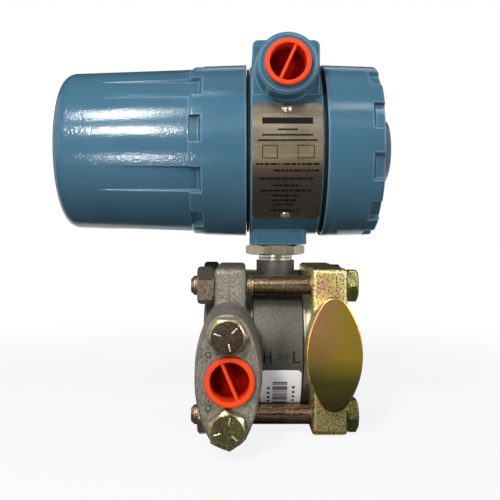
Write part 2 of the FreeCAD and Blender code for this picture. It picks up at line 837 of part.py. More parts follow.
def bolt(length, head_height, turn, mark_turn):
    """Hexagon bolt on +Z: marked head below zero, shank from zero to length."""
    head = hexagon(bolt_head_flats, head_height, turn, bolt_head_ease, bolt_face_share)
    head = laid_along(head, Z_AXIS, point(0, 0, -head_height))
    shank = rod_z(bolt_radius, 0, length)
    shank = shank.makeChamfer(bolt_end_edge, [e for e in shank.Edges if e.BoundBox.ZMin > length / 2])
    half = head_mark_width / 2
    marks = []
    for i in range(head_mark_count):
        mark = block(head_mark_inner, head_mark_outer, -half, half, -head_height - head_mark_height,
                     -head_height / 2)
        mark.rotate(point(0, 0, 0), Z_AXIS, mark_turn + FULL_TURN * i / head_mark_count)
        marks.append(mark)
    return head.fuse([shank] + marks).removeSplitter()


def flange_bolts():
    length = high_outer + blank_outer + flange_nut_height + bolt_tail
    shape = bolt(length, bolt_head_height, flat_down_turn, flat_down_turn)
    places = [point(blank_outer, y, z) for y, z in bolt_points()]
    return Part.makeCompound([laid_along(shape, -X_AXIS, place) for place in places])


def flange_nuts():
    """Lower nuts stand on a flat, upper nuts are turned a little."""
    solids = []
    for y, z in bolt_points():
        turn = flat_down_turn if z < drum_z else upper_nut_turn
        nut = hexagon(flange_nut_flats, flange_nut_height, turn, flange_nut_ease)
        nut = nut.cut(rod_z(bolt_radius + nut_bore_clearance, 0, flange_nut_height))
        solids.append(laid_along(nut, -X_AXIS, point(-high_outer, y, z)))
    return Part.makeCompound(solids)


def adapter_bolt_heights():
    return [high_boss_z + adapter_bolt_rise, high_boss_z - adapter_bolt_rise]


def flange_adapter():
    side, end = adapter_side_radius, adapter_end_radius
    front = oval_wire(side, end, adapter_bolt_rise, high_boss_x, adapter_front, high_boss_z)
    side, end = side + adapter_draft, end + adapter_draft
    back = oval_wire(side, end, adapter_bolt_rise, high_boss_x, boss_front, high_boss_z)
    solid = Part.makeLoft([back, front], True, True)
    solid = solid.makeFillet(adapter_edge, front_rim(solid, adapter_front))
    cuts = [port_cutter(adapter_front, 1, port_x, high_boss_z, adapter_port_depth, port_slope)]
    port_end = adapter_front + adapter_port_depth
    cuts.append(rod_y(passage_radius, port_end, boss_front, -chamber_x, high_boss_z))
    for z in adapter_bolt_heights():
        cuts.append(rod_y(bolt_radius + bolt_hole_clearance, adapter_front, boss_front, high_boss_x, z))
    cuts.append(seal_ring(seal_groove_clearance))
    return solid.cut(cuts).removeSplitter()


def seal_ring(clearance):
    """Ring in the adapter's back face, made larger all round by clearance for its groove."""
    start = boss_front - adapter_seal_depth
    ring = rod_y(adapter_seal_radius + clearance, start, boss_front, -chamber_x, high_boss_z)
    inner = adapter_seal_radius - adapter_seal_width - clearance
    return ring.cut(rod_y(inner, start, boss_front, -chamber_x, high_boss_z))


def adapter_bolts():
    length = adapter_thickness + adapter_bolt_bite
    solids = []
    turns = [(0, upper_mark_turn), (lower_bolt_turn, lower_mark_turn)]
    for z, (turn, mark_turn) in zip(adapter_bolt_heights(), turns):
        shape = bolt(length, adapter_head_height, turn, mark_turn)
        solids.append(laid_along(shape, Y_AXIS, point(high_boss_x, adapter_front, z)))
    return Part.makeCompound(solids)


def sensor_label():
    inner = drum_radius + label_gap
    left = label_left_margin - drum_half
    right = drum_half - label_right_margin
    band = arc_band(inner, inner + label_thickness, left, right, label_bottom_angle, label_top_angle, drum_z)
    return band.makeFillet(label_corner, [e for e in band.Edges if e.Length < 2 * label_thickness])


def screw_holes(x0, x1):
    return [rod_x(screw_radius + screw_clearance, x0, x1, y, z) for y, z in stack_points()]


def amplifier_board():
    return rod_x(board_radius, board_far, board_near, 0, axis_z).cut(screw_holes(board_far, board_near))


def electronics_pack():
    """Sealed pack of electronics on a round foot."""
    end = pack_near - pack_length
    foot_radius = board_radius - pack_inset
    body = spacer_circle - screw_head_radius - pack_foot_edge
    corners = [(pack_near, 0, 0), (pack_near, foot_radius, pack_foot_edge)]
    corners += [(pack_foot_end, foot_radius, pack_foot_edge), (pack_foot_end, body, 0)]
    corners += [(end, body, pack_round), (end, 0, 0)]
    return turned(corners, axis_z).cut(screw_holes(pack_foot_end, pack_near))


def pack_spacers():
    solids = []
    for y, z in stack_points():
        for x0, x1 in ((board_near, bulkhead_x), (pack_near, board_far)):
            sleeve = rod_x(spacer_radius, x0, x1, y, z)
            solids.append(sleeve.cut(rod_x(screw_radius + screw_clearance, x0, x1, y, z)))
    return Part.makeCompound(solids)


def pan_screw(length):
    """Slotted pan-head screw on +Z: head below zero, shank from zero to length."""
    top = -screw_head_height
    head = rod_z(screw_head_radius, top, 0)
    head = head.makeFillet(screw_head_round, [e for e in head.Edges if e.BoundBox.ZMax < top / 2])
    half = screw_slot_width / 2
    slot = block(-screw_head_radius, screw_head_radius, -half, half, top, top + screw_slot_depth)
    return head.fuse(rod_z(screw_radius, 0, length)).cut(slot).removeSplitter()


def pack_screws():
    shape = pan_screw(bulkhead_x + screw_bite - screw_clearance - pack_foot_end)
    places = [point(pack_foot_end, y, z) for y, z in stack_points()]
    return Part.makeCompound([laid_along(shape, X_AXIS, place) for place in places])


def terminal_places():
    first = -terminal_pitch * (terminal_count - 1) / 2
    return [first + i * terminal_pitch for i in range(terminal_count)]


def terminal_block():
    half_width = terminal_width / 2
    low = terminal_z - terminal_height / 2
    high = terminal_z + terminal_height / 2
    seat = terminal_face - terminal_recess
    body = block(bulkhead_end, terminal_face, -half_width, half_width, low, high)
    body = body.makeFillet(terminal_round, [e for e in body.Edges if e.BoundBox.XLength > terminal_round])
    half = terminal_recess_width / 2
    cuts = [block(seat, terminal_face, y - half, y + half, terminal_z, high) for y in terminal_places()]
    for y, z in block_screw_points():
        cuts.append(rod_x(screw_radius + screw_clearance, bulkhead_end, terminal_face, y, z))
        cuts.append(rod_x(screw_head_radius + screw_clearance, seat, terminal_face, y, z))
    return body.cut(cuts).removeSplitter()


def terminal_screws():
    seat = terminal_face - terminal_recess
    top = seat + terminal_screw_height
    z = terminal_z + terminal_height / 2 - terminal_screw_drop
    half = screw_slot_width / 2
    solids = []
    for y in terminal_places():
        head = rod_x(terminal_screw_radius, seat, top, y, z)
        slot = block(top - screw_slot_depth, top, y - terminal_screw_radius, y + terminal_screw_radius,
                     z - half, z + half)
        solids.append(head.cut(slot))
    return Part.makeCompound(solids)


def block_screws():
    seat = terminal_face - terminal_recess
    shape = pan_screw(terminal_depth - terminal_recess + screw_bite - screw_clearance)
    places = [point(seat, y, z) for y, z in block_screw_points()]
    return Part.makeCompound([laid_along(shape, -X_AXIS, place) for place in places])


def nodes():
    return {
        "housing": housing(),
        "long_cover": long_cover(),
        "short_cover": short_cover(),
        "long_cover_seal": cover_seal(-barrel_left, -1),
        "short_cover_seal": cover_seal(barrel_right, 1),
        "nameplate": nameplate(),
        "nameplate_rivets": nameplate_rivets(),
        "conduit_plug": conduit_plug(),
        "process_plug": process_plug(),
        "lock_nut": lock_nut(),
        "sensor_module": sensor_module(),
        "sensing_cell": sensing_cell(),
        "high_diaphragm": diaphragm(-1),
        "low_diaphragm": diaphragm(1),
        "high_gasket": gasket(-1),
        "low_gasket": gasket(1),
        "header_seal": header_seal(),
        "high_flange": high_flange(),
        "blank_flange": blank_flange(),
        "flange_bolts": flange_bolts(),
        "flange_nuts": flange_nuts(),
        "flange_adapter": flange_adapter(),
        "adapter_seal": seal_ring(0.0),
        "adapter_bolts": adapter_bolts(),
        "sensor_label": sensor_label(),
        "amplifier_board": amplifier_board(),
        "electronics_pack": electronics_pack(),
        "pack_spacers": pack_spacers(),
        "pack_screws": pack_screws(),
        "terminal_block": terminal_block(),
        "terminal_screws": terminal_screws(),
        "block_screws": block_screws(),
    }


os.makedirs("parts", exist_ok=True)
for name, shape in nodes().items():
    placed = shape.copy()
    placed.translate(point(-origin_x, -origin_y, 0))
    placed.exportStep(os.path.join("parts", name + ".step"))
    print(name, len(placed.Solids), round(placed.Volume, 1), placed.isValid())
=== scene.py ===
# Looks of the gauge pressure transmitter: paint, castings, plating, print and studio.
import json
import math
import random

import bpy
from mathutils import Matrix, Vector


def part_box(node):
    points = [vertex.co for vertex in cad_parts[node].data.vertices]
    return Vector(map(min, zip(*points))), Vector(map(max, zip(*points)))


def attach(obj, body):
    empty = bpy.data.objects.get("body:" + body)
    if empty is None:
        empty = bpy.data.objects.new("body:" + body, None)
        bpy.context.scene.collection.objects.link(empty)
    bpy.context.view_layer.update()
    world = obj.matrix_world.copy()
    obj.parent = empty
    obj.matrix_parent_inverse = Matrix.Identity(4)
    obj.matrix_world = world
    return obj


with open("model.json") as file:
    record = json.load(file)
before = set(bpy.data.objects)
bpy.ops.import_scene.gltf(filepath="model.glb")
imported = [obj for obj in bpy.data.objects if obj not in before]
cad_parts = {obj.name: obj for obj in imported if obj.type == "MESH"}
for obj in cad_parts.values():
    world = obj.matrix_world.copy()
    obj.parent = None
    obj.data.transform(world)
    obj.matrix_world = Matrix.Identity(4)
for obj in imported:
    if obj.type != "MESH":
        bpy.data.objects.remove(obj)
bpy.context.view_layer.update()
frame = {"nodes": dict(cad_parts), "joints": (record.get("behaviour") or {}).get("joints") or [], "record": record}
nodes = frame["nodes"]
MM = 0.001

# Places read from the frame
swivel = next(j for j in frame["joints"] if j["name"] == "housing_swivel")
cover_turn = next(j for j in frame["joints"] if j["name"] == "long_cover_turn")
neck_x, neck_y = swivel["pos_m"][0], swivel["pos_m"][1]
barrel_z = cover_turn["pos_m"][2]
flange_low, flange_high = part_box("high_flange")
drum_z = (flange_low.z + flange_high.z) / 2
plate_low, plate_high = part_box("nameplate")
label_low, label_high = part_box("sensor_label")
adapter_low, adapter_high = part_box("flange_adapter")
port_low, port_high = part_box("process_plug")
bolt_low, bolt_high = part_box("flange_bolts")
nut_low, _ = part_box("flange_nuts")
module_low, module_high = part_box("sensor_module")
blank_low, blank_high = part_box("blank_flange")
head_low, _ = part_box("adapter_bolts")
high_x = (adapter_low.x + adapter_high.x) / 2
port_z = (port_low.z + port_high.z) / 2
drum_radius = (module_high.y - module_low.y) / 2
HEAD_MARK = 0.2 * MM
BOLT_HEAD_HEIGHT = 5.9 * MM
DRUM_HALF = 13.0 * MM
NECK_RISE = 7.0 * MM
neck_shoulder = drum_z + drum_radius + NECK_RISE

# Camera, fitted to the photograph
CAMERA_AHEAD = 0.402
CAMERA_LEFT = 0.018
CAMERA_HEIGHT = 0.1008
LENS = 51.84
SENSOR_WIDTH = 36.0
CLIP_START = 0.01
SHIFT_X = 0.014
SHIFT_Y = -0.03


def shader_node(tree, kind, inputs=None, **settings):
    """Node with its settings and the values of its open inputs."""
    made = tree.nodes.new(kind)
    for key, value in settings.items():
        setattr(made, key, value)
    for key, value in (inputs or {}).items():
        made.inputs[key].default_value = value
    return made


def rgba(colour):
    return (*colour, 1.0)


def grey(level):
    return (level, level, level)


WHITE = rgba(grey(1.0))
# Range that a noise mostly keeps to
TONES_LOW = 0.3
TONES_HIGH = 0.7
# Sockets of a colour mix node: factor, first and second colour, then the result
MIX_INPUTS = (0, 6, 7)
MIX_RESULT = 2
BEVEL_SAMPLES = 4
# Agreement of the true and the rounded normal beside an edge and on it
EDGE_START = 0.995
EDGE_FULL = 0.94
SPECK_CORE = 0.6


class Finish:
    """A principled material with helpers for procedural detail in object space."""

    def __init__(self, name, colour, metallic=0.0, roughness=0.5):
        self.material = bpy.data.materials.new(name)
        self.material.use_nodes = True
        self.tree = self.material.node_tree
        self.shader = self.tree.nodes["Principled BSDF"]
        self.shader.inputs["Base Color"].default_value = rgba(colour)
        self.shader.inputs["Metallic"].default_value = metallic
        self.shader.inputs["Roughness"].default_value = roughness
        self.place = self.tree.nodes.new("ShaderNodeTexCoord").outputs["Object"]
        self.normal = None

    def join(self, out, socket):
        self.tree.links.new(out, socket)

    def stretched(self, stretch):
        """Object coordinates multiplied along each axis."""
        if stretch == (1, 1, 1):
            return self.place
        mapping = shader_node(self.tree, "ShaderNodeMapping", {"Scale": stretch})
        self.join(self.place, mapping.inputs["Vector"])
        return mapping.outputs["Vector"]

    def noise(self, scale, detail=3.0, stretch=(1, 1, 1), roughness=0.5):
        made = shader_node(self.tree, "ShaderNodeTexNoise",
                           {"Scale": scale, "Detail": detail, "Roughness": roughness})
        self.join(self.stretched(stretch), made.inputs["Vector"])
        return made.outputs["Fac"]

    def grains(self, scale):
        made = shader_node(self.tree, "ShaderNodeTexVoronoi", {"Scale": scale})
        self.join(self.place, made.inputs["Vector"])
        return made.outputs["Distance"]

    def ramp(self, factor, stops):
        made = self.tree.nodes.new("ShaderNodeValToRGB")
        ends = made.color_ramp.elements
        while len(ends) < len(stops):
            ends.new(0.5)
        for end, (position, colour) in zip(ends, stops):
            end.position = position
            end.color = rgba(colour)
        self.join(factor, made.inputs["Fac"])
        return made.outputs["Color"]

    def tones(self, factor, *colours):
        """Colours at even steps over the middle of a noise."""
        step = (TONES_HIGH - TONES_LOW) / (len(colours) - 1)
        return self.ramp(factor, [(TONES_LOW + step * i, colour) for i, colour in enumerate(colours)])

    def spread(self, factor, low, high, out_low, out_high):
        """Value moved from one range to another."""
        made = shader_node(self.tree, "ShaderNodeMapRange", {
            "From Min": low, "From Max": high, "To Min": out_low, "To Max": out_high})
        self.join(factor, made.inputs["Value"])
        return made.outputs["Result"]

    def mix(self, factor, first, second, blend="MIX"):
        made = shader_node(self.tree, "ShaderNodeMix", data_type="RGBA", blend_type=blend)
        for value, index in zip((factor, first, second), MIX_INPUTS):
            if isinstance(value, bpy.types.NodeSocket):
                self.join(value, made.inputs[index])
            elif isinstance(value, tuple):
                made.inputs[index].default_value = rgba(value)
            else:
                made.inputs[index].default_value = value
        return made.outputs[MIX_RESULT]

    def axes(self):
        """Object coordinates, one output for each axis."""
        made = self.tree.nodes.new("ShaderNodeSeparateXYZ")
        self.join(self.place, made.inputs["Vector"])
        return made.outputs["X"], made.outputs["Y"], made.outputs["Z"]

    def calc(self, operation, *values):
        """Math node over sockets and plain numbers."""
        made = shader_node(self.tree, "ShaderNodeMath", operation=operation)
        for socket, value in zip(made.inputs, values):
            if isinstance(value, bpy.types.NodeSocket):
                self.join(value, socket)
            else:
                socket.default_value = value
        return made.outputs["Value"]

    def distance(self, centre):
        made = shader_node(self.tree, "ShaderNodeVectorMath", operation="DISTANCE")
        self.join(self.place, made.inputs[0])
        made.inputs[1].default_value = centre
        return made.outputs["Value"]

    def lines(self, position, scale):
        """Fine lines that follow one coordinate."""
        made = shader_node(self.tree, "ShaderNodeTexNoise", {"Scale": scale, "Detail": 3.0},
                           noise_dimensions="1D")
        self.join(position, made.inputs["W"])
        return made.outputs["Fac"]

    def facing_up(self, low, high):
        """Zero to one as the surface's normal rises from one height to another."""
        apart = self.tree.nodes.new("ShaderNodeSeparateXYZ")
        self.join(self.tree.nodes.new("ShaderNodeTexCoord").outputs["Normal"], apart.inputs["Vector"])
        return self.spread(apart.outputs["Z"], low, high, 0, 1)

    def colour(self, out):
        self.join(out, self.shader.inputs["Base Color"])

    def roughness(self, factor, low, high):
        level = self.spread(factor, TONES_LOW, TONES_HIGH, low, high)
        self.join(level, self.shader.inputs["Roughness"])

    def bump(self, height, depth_mm, strength=1.0):
        made = shader_node(self.tree, "ShaderNodeBump", {"Strength": strength, "Distance": depth_mm * MM})
        self.join(height, made.inputs["Height"])
        if self.normal is not None:
            self.join(self.normal, made.inputs["Normal"])
        self.normal = made.outputs["Normal"]
        self.join(self.normal, self.shader.inputs["Normal"])

    def soft_edges(self, radius_mm):
        """Rounds edges in the shading; comes before any bump."""
        made = shader_node(self.tree, "ShaderNodeBevel", {"Radius": radius_mm * MM}, samples=BEVEL_SAMPLES)
        self.normal = made.outputs["Normal"]
        self.join(self.normal, self.shader.inputs["Normal"])

    def edges(self, radius_mm):
        """One on sharp edges and zero elsewhere."""
        rounded = shader_node(self.tree, "ShaderNodeBevel", {"Radius": radius_mm * MM}, samples=BEVEL_SAMPLES)
        dot = shader_node(self.tree, "ShaderNodeVectorMath", operation="DOT_PRODUCT")
        self.join(rounded.outputs["Normal"], dot.inputs[0])
        self.join(self.tree.nodes.new("ShaderNodeNewGeometry").outputs["Normal"], dot.inputs[1])
        return self.spread(dot.outputs["Value"], EDGE_START, EDGE_FULL, 0, 1)


def specks(finish, scale, size, colour_out, speck_colour):
    """Scatters small specks of a colour."""
    spots = finish.spread(finish.grains(scale), size, size * SPECK_CORE, 0.0, 1.0)
    return finish.mix(spots, colour_out, speck_colour)


def blue_paint():
    """Semi-gloss paint with orange peel, a few specks and a painted highlight along its edges."""
    finish = Finish("blue_paint", (0.060, 0.156, 0.232))
    finish.soft_edges(0.7)
    tone = finish.tones(finish.noise(22, 4), (0.054, 0.144, 0.215), (0.065, 0.167, 0.247))
    tone = specks(finish, 230, 0.06, tone, (0.14, 0.26, 0.35))
    tone = specks(finish, 90, 0.03, tone, (0.02, 0.035, 0.045))
    # Paler colour on sharp edges: a painted highlight.
    tone = finish.mix(finish.edges(1.3), tone, (0.21, 0.34, 0.43))
    finish.colour(tone)
    finish.roughness(finish.noise(60, 3), 0.12, 0.17)
    finish.bump(finish.noise(1000, 1), 0.075, 0.9)
    finish.shader.inputs["Specular IOR Level"].default_value = 0.34
    return finish.material


def orange_plastic():
    """Moulded plastic with painted shade that deepens to dark red towards the bottom of a plug's cup."""
    finish = Finish("orange_plastic", (0.88, 0.062, 0.006))
    finish.soft_edges(0.3)
    tone = finish.tones(finish.noise(70, 3), (0.84, 0.052, 0.005), (0.93, 0.072, 0.008))
    # Painted shade: dark red and weaker reflection deeper in the plug's cup.
    whole = finish.tree.nodes.new("ShaderNodeTexCoord").outputs["Generated"]
    apart = finish.tree.nodes.new("ShaderNodeSeparateXYZ")
    finish.join(whole, apart.inputs["Vector"])
    painted_cup_shade = finish.spread(apart.outputs["Y"], 0.22, 0.75, 0, 1)
    finish.colour(finish.mix(painted_cup_shade, tone, (0.30, 0.006, 0.001)))
    finish.roughness(finish.noise(150, 3), 0.36, 0.5)
    finish.bump(finish.noise(700, 2), 0.02, 0.4)
    finish.join(finish.spread(painted_cup_shade, 0, 1, 0.3, 0.02), finish.shader.inputs["Specular IOR Level"])
    return finish.material


def cast_metal(name, dark, light, metallic=0.55, roughness=(0.45, 0.62), depth_mm=0.16):
    """Sand-cast surface: mottled tone with a fine pebbled grain."""
    finish = Finish(name, light, metallic=metallic)
    finish.soft_edges(0.8)
    grain = finish.noise(900, 4, roughness=0.65)
    tone = finish.ramp(finish.noise(45, 5), [(0.32, dark), (0.68, light)])
    shade = finish.ramp(grain, [(0.33, grey(0.44)), (0.64, grey(1.24))])
    finish.colour(finish.mix(1.0, tone, shade, "MULTIPLY"))
    finish.roughness(finish.noise(160, 3), *roughness)
    finish.bump(grain, depth_mm, 0.7)
    finish.bump(finish.noise(180, 3), depth_mm * 2, 0.25)
    return finish.material


def turned_steel(name, dark, light, stretch, roughness=(0.25, 0.42)):
    """Machined steel with fine lines along one direction."""
    finish = Finish(name, light, metallic=0.95)
    finish.soft_edges(0.35)
    lines = finish.noise(60, 5, stretch)
    finish.colour(finish.tones(lines, dark, light))
    finish.roughness(finish.noise(90, 3), *roughness)
    finish.bump(lines, 0.02, 0.35)
    return finish.material


def plate_steel():
    """Brushed nameplate with a painted reflection: warm and pale above and dull below."""
    finish = Finish("plate_steel", (0.30, 0.25, 0.18), metallic=0.55)
    finish.soft_edges(0.35)
    _, _, z = finish.axes()
    lines = finish.noise(60, 5, (1, 40, 40))
    # Painted reflection: the tint follows the height on the plate.
    height = finish.spread(z, plate_low.z, plate_high.z, 0, 1)
    wander = finish.spread(finish.noise(40, 2), 0, 1, -0.04, 0.04)
    reflection_tint = finish.ramp(finish.calc("ADD", height, wander), [
        (0.02, (0.12, 0.10, 0.07)), (0.12, (0.075, 0.070, 0.060)), (0.34, (0.075, 0.068, 0.060)),
        (0.44, (0.17, 0.10, 0.065)), (0.54, (0.36, 0.30, 0.19)), (0.95, (0.26, 0.21, 0.155))])
    finish.colour(finish.mix(1.0, reflection_tint, finish.tones(lines, grey(0.75), grey(1.2)), "MULTIPLY"))
    finish.roughness(finish.noise(90, 3), 0.22, 0.32)
    finish.bump(lines, 0.02, 0.35)
    return finish.material


def nut_plating():
    """Chromate plating that drifts from rose to green, with painted shade on upper faces."""
    finish = Finish("nut_plating", (0.34, 0.27, 0.19), metallic=0.9)
    finish.soft_edges(0.5)
    tone = finish.ramp(finish.noise(38, 3), [
        (0.28, (0.38, 0.26, 0.21)), (0.50, (0.34, 0.27, 0.19)), (0.72, (0.40, 0.43, 0.19))])
    grain = finish.noise(800, 4, roughness=0.6)
    shade = finish.ramp(grain, [(0.36, grey(0.4)), (0.52, grey(1.0)), (0.66, (1.6, 1.6, 1.5))])
    tone = finish.mix(0.8, tone, shade, "MULTIPLY")
    # Painted shade on faces that look up.
    finish.colour(finish.mix(finish.facing_up(0.3, 0.6), tone, (0.13, 0.11, 0.085)))
    finish.roughness(finish.noise(120, 3), 0.38, 0.52)
    finish.bump(grain, 0.09, 0.6)
    return finish.material


def drum_steel():
    """Fine cast drum with painted shade in its stamping, bright machined steps and a bright neck thread."""
    finish = Finish("drum_steel", (0.19, 0.18, 0.15), metallic=0.6)
    finish.soft_edges(0.4)
    grain = finish.noise(1100, 4, roughness=0.65)
    tone = finish.ramp(finish.noise(45, 4), [(0.32, (0.105, 0.100, 0.084)), (0.68, (0.150, 0.143, 0.121))])
    shade = finish.ramp(grain, [(0.33, grey(0.62)), (0.62, grey(1.10))])
    tone = finish.mix(1.0, tone, shade, "MULTIPLY")
    x, y, z = finish.axes()
    across = finish.calc("ABSOLUTE", finish.calc("SUBTRACT", x, neck_x))
    outward = finish.calc("SUBTRACT", y, neck_y)
    upward = finish.calc("SUBTRACT", z, drum_z)
    outward_square = finish.calc("MULTIPLY", outward, outward)
    upward_square = finish.calc("MULTIPLY", upward, upward)
    radius = finish.calc("SQRT", finish.calc("ADD", outward_square, upward_square))
    # Painted shade in the stamped letters.
    painted_stamp_shade = finish.spread(radius, drum_radius - 0.12 * MM, drum_radius - 0.3 * MM, 0, 1)
    tone = finish.mix(painted_stamp_shade, tone, (0.018, 0.016, 0.013))
    step = finish.spread(across, DRUM_HALF - 0.2 * MM, DRUM_HALF + 0.1 * MM, 0, 1)
    thread = finish.spread(z, neck_shoulder - 0.1 * MM, neck_shoulder + 0.1 * MM, 0, 1)
    bare = finish.calc("MAXIMUM", step, thread)
    bright = finish.tones(finish.noise(80, 3), (0.55, 0.52, 0.44), (0.74, 0.71, 0.62))
    finish.colour(finish.mix(bare, tone, bright))
    finish.join(finish.spread(bare, 0, 1, 0.5, 0.34), finish.shader.inputs["Roughness"])
    finish.join(finish.spread(bare, 0, 1, 0.6, 0.95), finish.shader.inputs["Metallic"])
    finish.bump(finish.calc("MULTIPLY", grain, finish.calc("SUBTRACT", 1.0, bare)), 0.05, 0.6)
    return finish.material


def yellow_zinc():
    """Plated blank flange: grainy cast sides with painted shade on the lower ear and on upper faces, and a
    machined front with turning marks and a painted reflection by height.
    """
    finish = Finish("yellow_zinc", (0.40, 0.27, 0.07), metallic=0.9)
    finish.soft_edges(0.22)
    x, y, z = finish.axes()
    smooth = finish.spread(y, blank_low.y + 0.3 * MM, blank_low.y + 0.1 * MM, 0, 1)
    grain = finish.noise(1200, 4, roughness=0.7)
    drift = finish.noise(95, 3)
    cast = finish.ramp(drift, [
        (0.30, (0.74, 0.43, 0.27)), (0.42, (0.88, 0.68, 0.26)),
        (0.56, (0.95, 0.81, 0.45)), (0.72, (0.52, 0.48, 0.16))])
    # Painted shade on the lower ear.
    low = finish.spread(z, blank_low.z + 8 * MM, blank_high.z - 16 * MM, 0.6, 0.0)
    cast = finish.mix(low, cast, (0.16, 0.14, 0.05))
    shade = finish.ramp(grain, [
        (0.40, (0.10, 0.08, 0.05)), (0.49, (1.0, 0.98, 0.95)), (0.60, (1.7, 1.65, 1.5))])
    cast = finish.mix(1.0, cast, shade, "MULTIPLY")
    # Painted shade on faces that look up.
    cast = finish.mix(finish.facing_up(0.75, 0.95), cast, (0.22, 0.18, 0.085))
    # Painted reflection on the front: dark below and bright above, in a rose tint on the left and a gold tint on
    # the right.
    height = finish.spread(z, blank_low.z + 12 * MM, blank_high.z - 14 * MM, 0, 1)
    wander = finish.spread(finish.noise(28, 2), 0, 1, -0.22, 0.22)
    level = finish.calc("ADD", height, wander)
    rosy_reflection = finish.ramp(level, [
        (0.08, (0.048, 0.043, 0.018)), (0.32, (0.14, 0.115, 0.030)), (0.52, (0.54, 0.35, 0.085)),
        (0.70, (0.84, 0.42, 0.17)), (0.92, (0.86, 0.44, 0.18))])
    golden_reflection = finish.ramp(level, [
        (0.08, (0.048, 0.045, 0.016)), (0.32, (0.17, 0.15, 0.030)),
        (0.52, (0.64, 0.46, 0.055)), (0.92, (0.76, 0.50, 0.080))])
    side = finish.spread(x, blank_low.x + 8 * MM, blank_high.x - 8 * MM, 0, 1)
    reflection_tint = finish.mix(side, rosy_reflection, golden_reflection)
    turning_middle = (blank_high.x - 8 * MM, blank_low.y, blank_low.z - 50 * MM)
    turning = finish.lines(finish.distance(turning_middle), 1300)
    fine = finish.ramp(turning, [(0.35, grey(0.94)), (0.65, grey(1.06))])
    reflection_tint = finish.mix(1.0, reflection_tint, fine, "MULTIPLY")
    reflection_tint = specks(finish, 160, 0.05, reflection_tint, (0.75, 0.68, 0.42))
    finish.colour(finish.mix(smooth, cast, reflection_tint))
    finish.join(finish.spread(smooth, 0, 1, 0.38, 0.3), finish.shader.inputs["Roughness"])
    rough = finish.calc("MULTIPLY", grain, finish.calc("SUBTRACT", 1.0, smooth))
    finish.bump(rough, 0.2, 0.8)
    finish.bump(finish.calc("MULTIPLY", turning, smooth), 0.01, 0.3)
    return finish.material


def bolt_plating():
    """Brown-gold plated bolts with painted shade below, their heads greener than their shanks."""
    finish = Finish("bolt_plating", (0.24, 0.155, 0.080), metallic=0.9)
    finish.soft_edges(0.5)
    x, _, _ = finish.axes()
    drift = finish.noise(38, 3, (1, 4, 4))
    shank = finish.tones(drift, (0.20, 0.12, 0.072), (0.37, 0.24, 0.145), (0.57, 0.42, 0.26))
    # Painted shade on faces that look down.
    shank = finish.mix(finish.facing_up(-0.15, -0.75), shank, (0.07, 0.036, 0.022))
    head = finish.tones(drift, (0.14, 0.115, 0.05), (0.21, 0.20, 0.075), (0.27, 0.28, 0.105))
    head_start = bolt_high.x - BOLT_HEAD_HEIGHT
    tone = finish.mix(finish.spread(x, head_start - 0.5 * MM, head_start, 0, 1), shank, head)
    grain = finish.noise(900, 4, roughness=0.7)
    shade = finish.ramp(grain, [(0.36, grey(0.45)), (0.52, grey(1.0)), (0.66, (1.7, 1.65, 1.5))])
    finish.colour(finish.mix(1.0, tone, shade, "MULTIPLY"))
    finish.roughness(finish.noise(120, 3), 0.2, 0.3)
    finish.bump(grain, 0.07, 0.6)
    return finish.material


def adapter_bolt_steel():
    """Plated heads with dark faces, bright chamfers and a painted highlight on the raised marks."""
    finish = Finish("adapter_bolt_steel", (0.30, 0.24, 0.15), metallic=0.9)
    finish.soft_edges(0.4)
    _, y, z = finish.axes()
    drift = finish.noise(60, 3)
    plated = finish.tones(drift, (0.30, 0.22, 0.13), (0.46, 0.38, 0.24), (0.40, 0.38, 0.18))
    brown = finish.tones(drift, (0.055, 0.032, 0.026), (0.08, 0.052, 0.037), (0.11, 0.085, 0.048))
    olive = finish.tones(drift, (0.16, 0.115, 0.055), (0.20, 0.19, 0.072), (0.26, 0.26, 0.095))
    dark = finish.mix(finish.spread(z, port_z - 1 * MM, port_z + 1 * MM, 1, 0), brown, olive)
    face = head_low.y + HEAD_MARK
    tone = finish.mix(finish.spread(y, face + 0.3 * MM, face + 0.05 * MM, 0, 1), plated, dark)
    # Painted highlight on the raised marks.
    tone = finish.mix(finish.spread(y, face - 0.05 * MM, face - 0.12 * MM, 0, 1), tone, (0.85, 0.77, 0.52))
    grain = finish.noise(800, 4, roughness=0.6)
    shade = finish.ramp(grain, [(0.35, grey(0.5)), (0.54, grey(1.0)), (0.66, (2.0, 1.95, 1.8))])
    finish.colour(finish.mix(0.8, tone, shade, "MULTIPLY"))
    finish.roughness(finish.noise(120, 3), 0.26, 0.42)
    finish.bump(grain, 0.05, 0.6)
    return finish.material


def plain(name, dark, light, roughness, scale=120, metallic=0.0, grain_mm=0.02):
    """Slightly mottled surface for rubber, film, moulded and small pieces."""
    finish = Finish(name, light, metallic=metallic)
    finish.soft_edges(0.25)
    finish.colour(finish.tones(finish.noise(scale, 4), dark, light))
    finish.roughness(finish.noise(scale * 2, 3), *roughness)
    finish.bump(finish.noise(scale * 6, 2), grain_mm, 0.4)
    return finish.material


